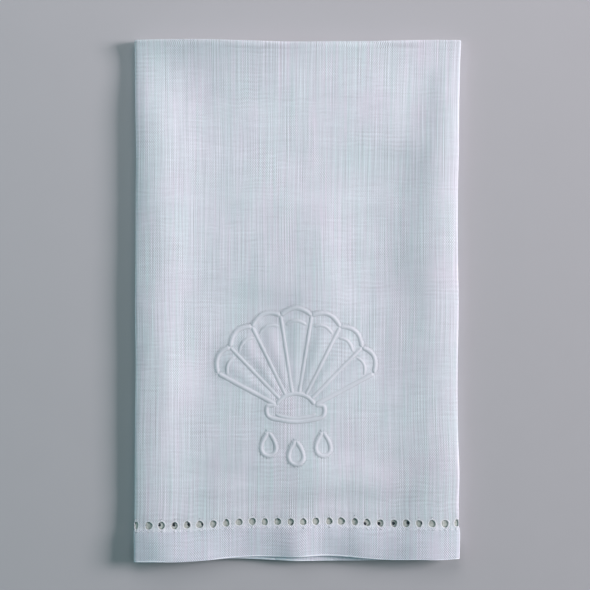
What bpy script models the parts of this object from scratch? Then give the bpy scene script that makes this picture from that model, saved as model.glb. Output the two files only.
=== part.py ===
"""Baptismal napkin: one hemmed linen sheet, folded flat into four layers.

The sheet is worked out as a flat pattern. Its two side panels fold behind the
front panel and all but meet at the middle of the back, and the lot is folded
in half behind itself at the top. Metres, +X to the right of the shown face,
+Y towards the crosswise fold, +Z out of the shown face.
"""

import math

import bmesh
import bpy
from mathutils import Vector
from mathutils.geometry import delaunay_2d_cdt

MM = 0.001

# Cloth and stack, in millimetres as every size below
SHEET_THICKNESS = 1.0
LAYER_GAP = 0.35
LAYER_PITCH = SHEET_THICKNESS + LAYER_GAP
LAYERS = 4

# Folded outline
FOLDED_WIDTH = 118.8
TOP_FOLD_Y = 95.3
HEM_EDGE_Y = -95.6
WING_SEAM_X = -7.8
WING_SEAM_GAP = 0.5
BACK_END_SHORT = 6.0

# Fold radii: a side fold joins two neighbouring layers, the top fold all four
SIDE_RADIUS = LAYER_PITCH / 2
TOP_RADIUS = LAYER_PITCH * 1.5
TOP_FOLD_LENGTH = math.pi * LAYER_PITCH
SIDE_FOLD_LENGTH = math.pi * SIDE_RADIUS
HALF_FLAT = FOLDED_WIDTH / 2 - SIDE_RADIUS - SHEET_THICKNESS / 2
TOP_BEND_Y = TOP_FOLD_Y - TOP_RADIUS - SHEET_THICKNESS / 2
FRONT_LENGTH = TOP_BEND_Y - HEM_EDGE_Y
BACK_LENGTH = FRONT_LENGTH - BACK_END_SHORT
FRONT_Z = SHEET_THICKNESS / 2 + (LAYERS - 1) * LAYER_PITCH

# Flat pattern: across runs over the panels, along runs from the shown hem edge
LEFT_WING = HALF_FLAT + WING_SEAM_X - WING_SEAM_GAP / 2
RIGHT_WING = HALF_FLAT - WING_SEAM_X - WING_SEAM_GAP / 2
PATTERN_LEFT = -(HALF_FLAT + SIDE_FOLD_LENGTH + LEFT_WING)
PATTERN_RIGHT = HALF_FLAT + SIDE_FOLD_LENGTH + RIGHT_WING
PATTERN_END = FRONT_LENGTH + TOP_FOLD_LENGTH + BACK_LENGTH

# Hem and its row of round openwork eyelets
EYELET_ROW = 13.6
EYELET_PITCH = 4.694
FRONT_EYELETS = 26
EYELET_WIDTH = 2.4
EYELET_HEIGHT = 2.75
EYELET_SIDES = 8
EDGE_EYELET_X = 58.4
EDGE_EYELET_WIDTH = 1.6
HEM_BAND = 11.8
HEM_STEP = 0.3
HEM_PLY = 0.2
WING_EYELET_PITCH = 5.25
LEFT_WING_EYELET_X = -44.7
RIGHT_WING_EYELET_X = 35.4
EYELET_TO_EDGE = 3.0

# Mesh steps
FRONT_COLUMNS = 18
LEFT_WING_COLUMNS = 3
RIGHT_WING_COLUMNS = 4
SIDE_FOLD_STEPS = 4
TOP_FOLD_STEPS = 6
FRONT_ROW_STEP = 6.4
BACK_ROWS = 7
POINT_CLEARANCE = 1.3
CORD_STEP = 3.0
POINT_MERGE = 0.01
SHARP_ANGLE = 40.0

# Scallop shell with three water drops, laid in raised cords; places from the motif's middle
MOTIF_CENTRE = (-0.3, -29.0)
CORD_WIDTH = 1.4
CORD_HEIGHT = 0.45
SHELL_FOCUS = (0.0, -13.0)
SHELL_RADIUS = 37.0
SHELL_HALF_ANGLE = 62.0
SHELL_SIDE_LOSS = 0.12
SHELL_LOBES = 7
LOBE_BULGE = 2.2
LOBE_STEPS = 4
COLLAR_RADIUS = 8.0
COLLAR_STEPS = 8
SHELL_FOOT = [
    # x, y of the hinge's outline, from its left ear to its right ear
    (-10.4, -9.8),
    (-10.0, -13.4),
    (-5.4, -14.8),
    (0.0, -15.4),
    (5.4, -14.8),
    (10.0, -13.4),
    (10.4, -9.8),
]
DROPS = [
    # x, y of the middle, tip-to-bottom length, width
    (-10.0, -23.6, 8.8, 5.4),
    (0.0, -26.8, 8.8, 5.4),
    (10.0, -23.6, 8.8, 5.4),
]
DROP_SIDES = 14
DROP_FULLEST = 0.77

# How far each side edge stands out of the straight folded outline
SIDE_EDGES = [
    # y, left edge out, right edge out
    (-95.6, 0.05, -0.35),
    (-89.0, 0.10, -0.20),
    (-83.0, 0.35, -0.05),
    (-76.0, 0.05, -0.30),
    (-65.0, -0.10, 0.00),
    (-47.0, -0.30, -0.50),
    (-25.0, -0.50, -0.65),
    (-3.0, -0.30, -0.35),
    (18.0, -0.60, -0.65),
    (37.0, -0.60, -0.65),
    (55.0, -0.45, -0.40),
    (69.0, -0.20, -0.25),
    (82.0, 0.00, 0.05),
    (95.0, 0.05, 0.40),
]

# How far the hem's edge is drawn up, on the front and on the panels behind
HEM_EDGES = [
    # x, front rise, rise of the panels behind
    (-59.0, 0.00, 0.00),
    (-50.0, 0.05, 0.30),
    (-42.0, 0.30, 0.60),
    (-34.0, 0.70, 0.95),
    (-26.0, 1.30, 1.10),
    (-17.0, 1.90, 0.85),
    (-8.0, 1.95, 0.50),
    (2.0, 2.00, 0.30),
    (11.0, 2.20, 0.25),
    (19.0, 1.90, 0.35),
    (26.0, 1.40, 0.60),
    (33.0, 1.00, 0.85),
    (45.0, 0.90, 1.00),
    (52.0, 0.75, 1.00),
    (59.0, 1.20, 1.20),
]
HEM_EDGE_REACH = 70.0

# How far the top fold dips below its ends
TOP_EDGE = [
    # x, dip
    (-59.0, 0.0),
    (-48.0, 0.05),
    (-35.0, 0.2),
    (-20.0, 0.6),
    (-2.0, 0.9),
    (16.0, 0.65),
    (24.0, 0.75),
    (38.0, 0.45),
    (50.0, 0.2),
    (59.0, 0.1),
]
TOP_EDGE_REACH = 75.0

# Soft swells of the upper layers
SWELLS = [
    # x, y of the crest's middle, half width, half length, lean dx/dy, height
    (-49.5, 8.0, 8.0, 62.0, 0.02, 0.95),
    (49.5, 22.0, 8.0, 58.0, -0.02, 0.95),
    (-38.0, 70.0, 11.0, 16.0, -0.8, 0.45),
    (40.0, 66.0, 10.0, 18.0, 0.7, 0.40),
    (12.0, 16.0, 9.0, 30.0, 0.0, 0.45),
    (-17.0, 30.0, 8.0, 34.0, 0.0, 0.30),
    (2.0, -86.0, 34.0, 20.0, 0.0, 0.75),
    (0.0, -88.0, 4.5, 13.0, 0.05, 0.35),
    (23.0, -88.0, 4.5, 13.0, 0.05, 0.35),
    (-34.0, -86.0, 6.0, 16.0, 0.0, 0.30),
]
SWELL_FADE = 8.0
WING_SHARE = 0.3

CLOTH_COLOUR = (0.62, 0.66, 0.71, 1.0)
CLOTH_ROUGHNESS = 0.9


def ease(value):
    """Rise smoothly from 0 to 1 as value goes from 0 to 1."""
    value = min(1.0, max(0.0, value))
    return value * value * (3.0 - 2.0 * value)


def spread(low, high, pieces):
    """Evenly spaced values from low to high, both ends included."""
    return [low + (high - low) * piece / pieces for piece in range(pieces + 1)]


def read_column(table, column, at):
    """Read one column of a table at a place between its rows."""
    if at <= table[0][0]:
        return table[0][column]
    for low, high in zip(table, table[1:]):
        if at <= high[0]:
            share = ease((at - low[0]) / (high[0] - low[0]))
            return low[column] + share * (high[column] - low[column])
    return table[-1][column]


def behind_share(across):
    """0 on the front panel, 1 on the side panels behind it."""
    return ease((abs(across) - HALF_FLAT) / SIDE_FOLD_LENGTH)


def side_fold(across, out):
    """Fold the side panels behind: x, and depth under the front panel."""
    past = abs(across) - HALF_FLAT
    side = math.copysign(1.0, across)
    if past <= 0.0:
        return across, -out
    if past < SIDE_FOLD_LENGTH:
        turn = past / SIDE_RADIUS
        reach = SIDE_RADIUS + out
        return side * (HALF_FLAT + reach * math.sin(turn)), SIDE_RADIUS - reach * math.cos(turn)
    return side * (HALF_FLAT - (past - SIDE_FOLD_LENGTH)), LAYER_PITCH + out


def top_fold(along, depth):
    """Fold the far half behind the near one: y and z."""
    radius = TOP_RADIUS - depth
    centre_z = FRONT_Z - TOP_RADIUS
    past = along - FRONT_LENGTH
    if past <= 0.0:
        return HEM_EDGE_Y + along, centre_z + radius
    if past < TOP_FOLD_LENGTH:
        turn = math.pi * past / TOP_FOLD_LENGTH
        return TOP_BEND_Y + radius * math.sin(turn), centre_z + radius * math.cos(turn)
    return TOP_BEND_Y - (past - TOP_FOLD_LENGTH), centre_z - radius


def swell(x, y):
    """Height of the soft swells at a place on the upper layers."""
    height = 0.0
    for crest_x, crest_y, half_width, half_length, lean, top in SWELLS:
        along = y - crest_y
        across = x - crest_x - lean * along
        height += top * math.exp(-(across / half_width) ** 2 - (along / half_length) ** 4)
    return height * ease((TOP_BEND_Y - y) / SWELL_FADE)


def drift(across, along, x, y):
    """Shift of a place on the sheet out of the straight folded form."""
    behind = behind_share(across)
    left = read_column(SIDE_EDGES, 1, y)
    right = read_column(SIDE_EDGES, 2, y)
    portion = x / FOLDED_WIDTH
    shift_x = right * (0.5 + portion) - left * (0.5 - portion)
    hem = (1.0 - behind) * read_column(HEM_EDGES, 1, x) + behind * read_column(HEM_EDGES, 2, x)
    hem_reach = max(0.0, 1.0 - along / HEM_EDGE_REACH) ** 2
    top_reach = max(0.0, 1.0 - (TOP_FOLD_Y - y) / TOP_EDGE_REACH) ** 2
    shift_y = hem * hem_reach - read_column(TOP_EDGE, 1, x) * top_reach
    if along > FRONT_LENGTH:
        return Vector((shift_x, shift_y, 0.0))
    lift = swell(x, y) * (1.0 - behind * (1.0 - WING_SHARE))
    return Vector((shift_x, shift_y, lift))


def place(across, along, out):
    """Folded position of a point of the pattern, out from its mid surface."""
    x, depth = side_fold(across, out)
    y, z = top_fold(along, depth)
    mid_x, mid_depth = side_fold(across, 0.0)
    mid_y, _ = top_fold(along, mid_depth)
    return Vector((x, y, z)) + drift(across, along, mid_x, mid_y)


def ellipse(centre, width, height, sides):
    """Closed polygon around an ellipse."""
    turns = [2.0 * math.pi * (step + 0.5) / sides for step in range(sides)]
    return [
        (centre[0] + width / 2 * math.cos(turn), centre[1] + height / 2 * math.sin(turn))
        for turn in turns
    ]


def front_eyelets():
    """Outline of each eyelet along the front's hem; the last at each side sits on the fold."""
    half_row = (FRONT_EYELETS - 1) * EYELET_PITCH / 2
    outlines = []
    for number in range(1, FRONT_EYELETS - 1):
        centre = (number * EYELET_PITCH - half_row, EYELET_ROW)
        outlines.append(ellipse(centre, EYELET_WIDTH, EYELET_HEIGHT, EYELET_SIDES))
    for side in (-1, 1):
        centre = (side * EDGE_EYELET_X, EYELET_ROW)
        outlines.append(ellipse(centre, EDGE_EYELET_WIDTH, EYELET_HEIGHT, EYELET_SIDES))
    return outlines


def wing_eyelets(side, known_x, wing):
    """Outline of each eyelet along one side panel, in step with one at a known x."""
    outlines = []
    steps = int(FOLDED_WIDTH / WING_EYELET_PITCH)
    for number in range(-steps, steps + 1):
        into_wing = HALF_FLAT - side * known_x + number * WING_EYELET_PITCH
        if EYELET_TO_EDGE < into_wing < wing - EYELET_TO_EDGE:
            centre = (side * (HALF_FLAT + SIDE_FOLD_LENGTH + into_wing), EYELET_ROW)
            outlines.append(ellipse(centre, EYELET_WIDTH, EYELET_HEIGHT, EYELET_SIDES))
    return outlines


def from_focus(angle, radius):
    """Point of the shell at an angle in degrees from straight up and a radius from its focus."""
    turn = math.radians(angle)
    return SHELL_FOCUS[0] + radius * math.sin(turn), SHELL_FOCUS[1] + radius * math.cos(turn)


def fan_point(angle, past_notch):
    """Point of the fan's rim, which is nearer the focus at the shell's sides."""
    share = angle / SHELL_HALF_ANGLE
    radius = SHELL_RADIUS * (1.0 - SHELL_SIDE_LOSS * share * share)
    return from_focus(angle, radius + past_notch)


def shell_lines():
    """Centre lines of the shell's cords: its outline, its collar and its ribs."""
    lobe_angle = 2.0 * SHELL_HALF_ANGLE / SHELL_LOBES
    outline = SHELL_FOOT[::-1] + [from_focus(-SHELL_HALF_ANGLE, COLLAR_RADIUS)]
    for step in range(SHELL_LOBES * LOBE_STEPS + 1):
        angle = step * lobe_angle / LOBE_STEPS - SHELL_HALF_ANGLE
        outline.append(fan_point(angle, LOBE_BULGE * abs(math.sin(math.pi * step / LOBE_STEPS))))
    outline += [from_focus(SHELL_HALF_ANGLE, COLLAR_RADIUS), outline[0]]
    collar = [
        from_focus(angle, COLLAR_RADIUS)
        for angle in spread(-SHELL_HALF_ANGLE, SHELL_HALF_ANGLE, COLLAR_STEPS)
    ]
    ribs = []
    for rib in range(1, SHELL_LOBES):
        angle = rib * lobe_angle - SHELL_HALF_ANGLE
        ribs.append([from_focus(angle, COLLAR_RADIUS), fan_point(angle, 0.0)])
    return [outline, collar] + ribs


def drop_line(x, y, length, width):
    """Centre line of one water drop, pointed at the top."""
    points = []
    for step in range(DROP_SIDES + 1):
        turn = 2.0 * math.pi * step / DROP_SIDES
        bulge = math.sin(turn) * math.sin(turn / 2) / DROP_FULLEST
        points.append((x + width / 2 * bulge, y + length / 2 * math.cos(turn)))
    return points


def divided(line):
    """The same line with a point at least every cord step."""
    points = [line[0]]
    for start, end in zip(line, line[1:]):
        pieces = max(1, round(math.dist(start, end) / CORD_STEP))
        for piece in range(1, pieces + 1):
            share = piece / pieces
            points.append((
                start[0] + share * (end[0] - start[0]),
                start[1] + share * (end[1] - start[1]),
            ))
    return points


def motif_lines():
    """Every cord's centre line, in the pattern's own axes."""
    along_centre = MOTIF_CENTRE[1] - HEM_EDGE_Y
    return [
        divided([(MOTIF_CENTRE[0] + x, along_centre + y) for x, y in line])
        for line in shell_lines() + [drop_line(*drop) for drop in DROPS]
    ]


def beside(line, distance):
    """Line that runs beside another, to its left by a distance."""
    closed = math.dist(line[0], line[-1]) < POINT_MERGE
    points = []
    for number, point in enumerate(line):
        before = line[number - 1] if number else (line[-2] if closed else point)
        after = line[number + 1] if number + 1 < len(line) else (line[1] if closed else point)
        run = Vector(after) - Vector(before)
        normal = Vector((-run.y, run.x)).normalized()
        points.append((point[0] + normal.x * distance, point[1] + normal.y * distance))
    return points


def distance_to(point, lines):
    """Shortest distance from a point to any of the lines."""
    here = Vector(point)
    best = math.inf
    for line in lines:
        for start, end in zip(line, line[1:]):
            first, run = Vector(start), Vector(end) - Vector(start)
            share = min(1.0, max(0.0, (here - first).dot(run) / run.length_squared))
            best = min(best, (first + run * share - here).length)
    return best


def relief(across, along, lines):
    """Height of the face over the plain sheet: the hem's second ply and the cords."""
    band = HEM_PLY * ease((HEM_BAND - along) / HEM_STEP) * (1.0 - behind_share(across))
    if abs(across) > HALF_FLAT or along > FRONT_LENGTH:
        return band
    nearness = distance_to((across, along), lines) / (CORD_WIDTH / 2)
    return band + CORD_HEIGHT * max(0.0, 1.0 - nearness * nearness)


def pattern_columns():
    """Places of the mesh's columns, and those of them that bend round a side fold."""
    edge = HALF_FLAT + SIDE_FOLD_LENGTH
    left_fold = spread(-edge, -HALF_FLAT, SIDE_FOLD_STEPS)
    right_fold = spread(HALF_FLAT, edge, SIDE_FOLD_STEPS)
    columns = spread(PATTERN_LEFT, -edge, LEFT_WING_COLUMNS)[:-1] + left_fold
    columns += spread(-HALF_FLAT, HALF_FLAT, FRONT_COLUMNS)[1:-1]
    columns += right_fold + spread(edge, PATTERN_RIGHT, RIGHT_WING_COLUMNS)[1:]
    return columns, left_fold + right_fold


def pattern_rows():
    """Places of the mesh's rows, and those of them that must stay whole lines."""
    hem_rows = [0.0, HEM_BAND / 2, HEM_BAND - HEM_STEP, HEM_BAND]
    first = EYELET_ROW + EYELET_HEIGHT
    front_rows = spread(first, FRONT_LENGTH, round((FRONT_LENGTH - first) / FRONT_ROW_STEP))[:-1]
    bend_rows = spread(FRONT_LENGTH, FRONT_LENGTH + TOP_FOLD_LENGTH, TOP_FOLD_STEPS)
    back_rows = spread(FRONT_LENGTH + TOP_FOLD_LENGTH, PATTERN_END, BACK_ROWS)[1:]
    return hem_rows + front_rows + bend_rows + back_rows, hem_rows[2:] + bend_rows


def pattern_mesh(holes, lines):
    """Triangles of the flat pattern, with the eyelets left out."""
    columns, fold_columns = pattern_columns()
    rows, whole_rows = pattern_rows()
    points = []
    edges = []

    def add_chain(chain):
        start = len(points)
        points.extend(Vector(point) for point in chain)
        edges.extend((number, number + 1) for number in range(start, len(points) - 1))

    rings = [hole + hole[:1] for hole in holes]
    for ring in rings:
        add_chain(ring)
    for line in lines:
        for distance in (-CORD_WIDTH / 2, 0.0, CORD_WIDTH / 2):
            add_chain(beside(line, distance))
    for column in [columns[0]] + fold_columns + [columns[-1]]:
        add_chain([(column, row) for row in rows])
    for row in [rows[0]] + whole_rows + [rows[-1]]:
        add_chain([(column, row) for column in columns])
    for column in columns:
        for row in rows:
            if distance_to((column, row), rings + lines) > POINT_CLEARANCE:
                points.append(Vector((column, row)))

    found, _, faces, *_ = delaunay_2d_cdt(points, edges, [], 0, POINT_MERGE)
    kept = []
    for face in faces:
        middle = sum((found[number] for number in face), Vector((0.0, 0.0))) / len(face)
        if not any(inside(middle, hole) for hole in holes):
            kept.append(tuple(face))
    return found, kept


def inside(point, polygon):
    """True for a point inside a convex polygon that runs anticlockwise."""
    for start, end in zip(polygon, polygon[1:] + polygon[:1]):
        turn = (end[0] - start[0]) * (point[1] - start[1]) - (end[1] - start[1]) * (point[0] - start[0])
        if turn < 0.0:
            return False
    return True


def sheet_mesh():
    """Closed mesh of the folded sheet: both faces, its edges and the eyelets' walls."""
    lines = motif_lines()
    holes = front_eyelets()
    holes += wing_eyelets(-1, LEFT_WING_EYELET_X, LEFT_WING)
    holes += wing_eyelets(1, RIGHT_WING_EYELET_X, RIGHT_WING)
    found, faces = pattern_mesh(holes, lines)
    half = SHEET_THICKNESS / 2

    shape = bmesh.new()
    outer = {}
    inner = {}
    for number in sorted({number for face in faces for number in face}):
        across, along = found[number]
        outer[number] = shape.verts.new(place(across, along, half + relief(across, along, lines)) * MM)
        inner[number] = shape.verts.new(place(across, along, -half) * MM)
    sides = set()
    for face in faces:
        shape.faces.new([outer[number] for number in face])
        shape.faces.new([inner[number] for number in reversed(face)])
        sides.update(zip(face, face[1:] + face[:1]))
    for start, end in sorted(sides):
        if (end, start) not in sides:
            shape.faces.new([outer[end], outer[start], inner[start], inner[end]])
    return shape


def centred(shape):
    """Move the shape so that its box stands on the origin."""
    low = [min(vertex.co[axis] for vertex in shape.verts) for axis in range(3)]
    high = [max(vertex.co[axis] for vertex in shape.verts) for axis in range(3)]
    stand = Vector(((low[0] + high[0]) / 2, (low[1] + high[1]) / 2, low[2]))
    bmesh.ops.translate(shape, verts=shape.verts, vec=-stand)


def cloth_material():
    """White linen with a cool cast."""
    material = bpy.data.materials.new("linen")
    material.use_nodes = True
    surface = material.node_tree.nodes["Principled BSDF"]
    surface.inputs["Base Color"].default_value = CLOTH_COLOUR
    surface.inputs["Roughness"].default_value = CLOTH_ROUGHNESS
    surface.inputs["Metallic"].default_value = 0.0
    return material


def build():
    """Make the napkin."""
    for leftover in list(bpy.data.objects):
        bpy.data.objects.remove(leftover, do_unlink=True)
    shape = sheet_mesh()
    centred(shape)
    mesh = bpy.data.meshes.new("napkin")
    shape.to_mesh(mesh)
    shape.free()
    mesh.materials.append(cloth_material())
    mesh.shade_smooth()
    mesh.set_sharp_from_angle(angle=math.radians(SHARP_ANGLE))
    napkin = bpy.data.objects.new("napkin", mesh)
    bpy.context.scene.collection.objects.link(napkin)


build()
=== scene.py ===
"""Baptismal napkin: white linen folded flat in four layers, a corded shell above its openwork hem.

Cloth, eyelets and embroidery are laid out on the flat sheet, in millimetres: across the panels,
along from the shown hem edge, and out from the sheet's middle. Then they are all folded together.
"""

import math

import bpy
import numpy as np
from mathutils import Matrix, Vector, kdtree
from mathutils.geometry import delaunay_2d_cdt


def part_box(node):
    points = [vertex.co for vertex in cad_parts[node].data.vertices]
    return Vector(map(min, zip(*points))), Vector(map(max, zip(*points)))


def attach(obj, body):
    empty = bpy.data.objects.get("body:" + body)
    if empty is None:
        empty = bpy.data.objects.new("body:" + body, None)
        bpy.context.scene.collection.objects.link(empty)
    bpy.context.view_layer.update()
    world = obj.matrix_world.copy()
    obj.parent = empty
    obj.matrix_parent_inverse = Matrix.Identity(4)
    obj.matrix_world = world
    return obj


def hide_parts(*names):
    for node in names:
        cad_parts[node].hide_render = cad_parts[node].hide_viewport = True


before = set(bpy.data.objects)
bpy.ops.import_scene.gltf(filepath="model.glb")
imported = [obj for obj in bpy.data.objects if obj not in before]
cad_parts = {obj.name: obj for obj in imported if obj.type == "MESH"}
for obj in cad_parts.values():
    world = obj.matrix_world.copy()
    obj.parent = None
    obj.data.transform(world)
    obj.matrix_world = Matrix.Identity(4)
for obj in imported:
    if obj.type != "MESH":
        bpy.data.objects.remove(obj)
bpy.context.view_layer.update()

MM = 0.001
FRAME_LOW, FRAME_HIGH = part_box("napkin")

# Sheet and stack, in millimetres as every length below
SHEET_THICKNESS = 0.8
PANEL_PITCH = 1.05
FRONT_FACE_Z = 5.45
FRONT_Z = FRONT_FACE_Z - SHEET_THICKNESS / 2
BACK_Z = SHEET_THICKNESS / 2

# Share of half the thickness by which a hidden panel's outer face is pressed in, and its reach from the fold
HIDDEN_THINNING = 1.05
HIDDEN_REACH = 8.0

# Folded outline
FOLDED_WIDTH = 118.8
TOP_FOLD_Y = 95.3
HEM_EDGE_Y = -95.6
WING_SEAM_X = -7.8
WING_SEAM_GAP = 0.05
BACK_END_SHORT = 6.0

# Folds: a side fold joins a panel to the one behind it, the top fold joins the halves
SIDE_RADIUS = PANEL_PITCH / 2
TOP_RADIUS = (FRONT_Z - BACK_Z) / 2
FOLD_SQUARENESS = 0.55
TOP_SQUARENESS = 0.46
SIDE_FOLD_LENGTH = math.pi * SIDE_RADIUS
TOP_FOLD_LENGTH = math.pi * (TOP_RADIUS - SIDE_RADIUS)
HALF_FLAT = FOLDED_WIDTH / 2 - SIDE_RADIUS - SHEET_THICKNESS / 2
TOP_BEND_Y = TOP_FOLD_Y - TOP_RADIUS - SHEET_THICKNESS / 2
FRONT_LENGTH = TOP_BEND_Y - HEM_EDGE_Y
BACK_LENGTH = FRONT_LENGTH - BACK_END_SHORT

# Flat pattern
LEFT_WING = HALF_FLAT + WING_SEAM_X - WING_SEAM_GAP / 2
RIGHT_WING = HALF_FLAT - WING_SEAM_X - WING_SEAM_GAP / 2
FOLD_EDGE = HALF_FLAT + SIDE_FOLD_LENGTH
PATTERN_DIGITS = 4
PATTERN_LEFT = -round(FOLD_EDGE + LEFT_WING, PATTERN_DIGITS)
PATTERN_RIGHT = round(FOLD_EDGE + RIGHT_WING, PATTERN_DIGITS)
PATTERN_END = round(FRONT_LENGTH + TOP_FOLD_LENGTH + BACK_LENGTH, PATTERN_DIGITS)

# Hem
HEM_BAND = 11.8
HEM_STEP = 0.3
HEM_PLY = 0.18
EDGE_ROUNDING = 0.3
EDGE_BLUNT = 0.55

# Openwork eyelets
EYELET_ROW = 13.4
EYELET_PITCH = 4.694
FRONT_EYELETS = 26
EYELET_WIDTH = 2.6
EYELET_HEIGHT = 2.88
EYELET_SIDES = 18
EDGE_EYELET_X = 58.3
EDGE_EYELET_WIDTH = 1.5
WING_EYELET_PITCH = 5.25
LEFT_WING_EYELET_X = -44.7
RIGHT_WING_EYELET_X = 35.4
EYELET_TO_EDGE = 3.0
HIDDEN_EYELET_SHARE = 0.5
EYELET_SPREAD = 0.13
EYELET_PINCH = 0.07
EYELET_WIDTH_SHARES = (0.88, 1.06)
EYELET_HEIGHT_SHARES = (0.93, 1.04)
EYELET_PINCH_SHARES = (0.2, 1.0)
EYELET_CORNERS = 3.0
ROW_THINNING = 0.82
ROW_REACH = 3.0
ROW_WING_RISE = 0.77
ROW_WING_REACH = 18.0

# Overcast rim of an eyelet, and the pulled bars and needle holes above and below it
RIM_HALF_WIDTH = 0.30
RIM_INSET = 0.7
RIM_RISE = 0.045
RIM_SQUARENESS = 0.6
RIM_WRAPS = 22
RIM_STEPS_PER_WRAP = 3
RIM_GROOVE = 0.15
RIM_SIDES = 10
BAR_REACH = (2.25, -2.35)
BAR_LEAN = 0.35
BAR_PLACES = (0.0, 0.3, 0.7, 1.0)
NEEDLE_HOLE_RADIUS = 0.18
NEEDLE_HOLE_SIDES = 6

# Running stitch that holds the hem
HEM_STITCH_ROW = 11.2
HEM_STITCH_PITCH = 1.9
HEM_STITCH_LENGTH = 1.2
HEM_STITCH_MARGINS = (1.0, 2.0)
HEM_STITCH_SPREAD = (0.06, 0.03)

# Scallop shell with three water drops; places from the motif's middle
MOTIF_CENTRE = (-0.3, -29.0)
SHELL_FOCUS = (0.0, -13.0)
SHELL_RADIUS = 37.0
SHELL_HALF_ANGLE = 62.0
SHELL_SIDE_LOSS = 0.12
SHELL_LOBES = 7
LOBE_ANGLE = 2.0 * SHELL_HALF_ANGLE / SHELL_LOBES
LOBE_BULGE = 2.2
ECHO_ENDS = (0.12, 0.88)
ECHO_INSET = 4.6
COLLAR_RADIUS = 8.0
HINGE_ECHO_TRIM = 6
HINGE_ECHO_SHARE = 0.7
HINGE_MIDDLE = (0.0, -10.8)
SHELL_FOOT = [
    # x, y of the hinge's outline, from its left ear to its right ear
    (-10.4, -9.8),
    (-10.0, -13.4),
    (-5.4, -14.8),
    (0.0, -15.4),
    (5.4, -14.8),
    (10.0, -13.4),
    (10.4, -9.8),
]
DROPS = [
    # x, y of the middle, tip-to-bottom length, width
    (-10.0, -23.6, 8.8, 5.4),
    (0.0, -26.8, 8.8, 5.4),
    (10.0, -23.6, 8.8, 5.4),
]
DROP_FULLEST = 0.77
CURVE_STEP = 0.8
LOBE_POINTS = 17
ECHO_POINTS = 13
RIB_POINTS = 12
COLLAR_POINTS = 25
DROP_POINTS = 41

# Satin-stitched cord and the pin stitches beside it
CORD_WIDTH = 1.95
CORD_RISE = 0.22
CORD_SINK = 0.03
RIB_SHARE = 0.85
ECHO_SHARE = 0.78
STITCH_PITCH = 0.36
STITCH_STEPS = 3
STITCH_GROOVE = 0.12
STITCH_EDGE_SHARE = 0.06
CORD_SIDES = 8
CORD_TAPER = 0.9
CORD_END_SHARE = 0.02
CORD_ROUNDNESS = 1.3
CORD_WAVER = 0.05
CORD_WAVER_RATE = 0.9
CORD_SPREAD = 0.015
PIN_PITCH = 0.95
PIN_OFFSET = 1.2
PIN_CLEARANCE = 0.9 * PIN_OFFSET
PIN_SHELL_MIDDLE = (0.0, -12.0)
PIN_PLACES = (0.35, 0.6, 0.85, 1.0)
PIN_HOLE_RADIUS = 0.17

# Thin strands
STRANDS = {
    # name: radius, share of it upwards, sides, heights over the face from end to end
    "bar": (0.09, 1.0, 5, (-0.3, 0.0, 0.02, 0.0)),
    "hem_stitch": (0.13, 0.7, 6, (-0.2, 0.02, 0.06, 0.06, 0.02, -0.2)),
    "pin_stitch": (0.09, 1.0, 5, (0.05, 0.07, 0.02, -0.25)),
}

# Cloth drawn up beside the cords, and pillowed in each lobe with soft ends
CLOTH_DRAW = 0.08
CLOTH_DRAW_REACH = 1.1
LOBE_PILLOW = 0.26
PILLOW_FOOT = 6.0
PILLOW_RIM = 3.0

# How far each side edge stands out of the straight folded outline
SIDE_EDGES = [
    # y, left edge out, right edge out
    (-95.6, 0.05, -0.35),
    (-89.0, 0.10, -0.20),
    (-83.0, 0.35, -0.10),
    (-76.0, 0.10, -0.40),
    (-65.0, 0.05, -0.15),
    (-47.0, -0.08, -0.70),
    (-25.0, -0.35, -0.80),
    (-3.0, -0.15, -0.45),
    (18.0, -0.30, -0.75),
    (37.0, -0.30, -0.75),
    (55.0, -0.45, -0.40),
    (69.0, -0.20, -0.25),
    (82.0, 0.00, 0.05),
    (95.0, 0.05, 0.40),
]

# How far the hem's edge is drawn up, on the front and on the panels behind
HEM_EDGES = [
    # x, front rise, rise of the panels behind
    (-59.0, 0.10, 0.15),
    (-50.0, 0.30, 0.50),
    (-42.0, 0.30, 0.60),
    (-34.0, 0.70, 0.95),
    (-26.0, 1.30, 1.10),
    (-17.0, 1.90, 0.85),
    (-8.0, 1.95, 0.50),
    (2.0, 2.00, 0.30),
    (11.0, 2.20, 0.25),
    (19.0, 1.90, 0.35),
    (26.0, 1.40, 0.60),
    (33.0, 1.00, 0.85),
    (45.0, 1.18, 1.33),
    (52.0, 1.06, 1.33),
    (59.0, 1.35, 1.40),
]
HEM_EDGE_REACH = 70.0

# Top fold
TOP_EDGE = [
    # x, dip of the edge in the cloth's plane, height over the even stack
    (-59.0, -0.05, -0.80),
    (-48.0, -0.16, 0.45),
    (-35.0, 0.00, 2.40),
    (-20.0, 0.50, 3.45),
    (-2.0, 1.00, 3.30),
    (16.0, 0.75, 2.35),
    (24.0, 0.70, 1.75),
    (38.0, 0.28, 0.75),
    (50.0, 0.08, 0.00),
    (59.0, 0.10, -0.30),
]
TOP_EDGE_REACH = 75.0
TOP_HEIGHT_REACH = 22.0
TOP_LIP = 0.9
TOP_LIP_REACH = 3.0

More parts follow.
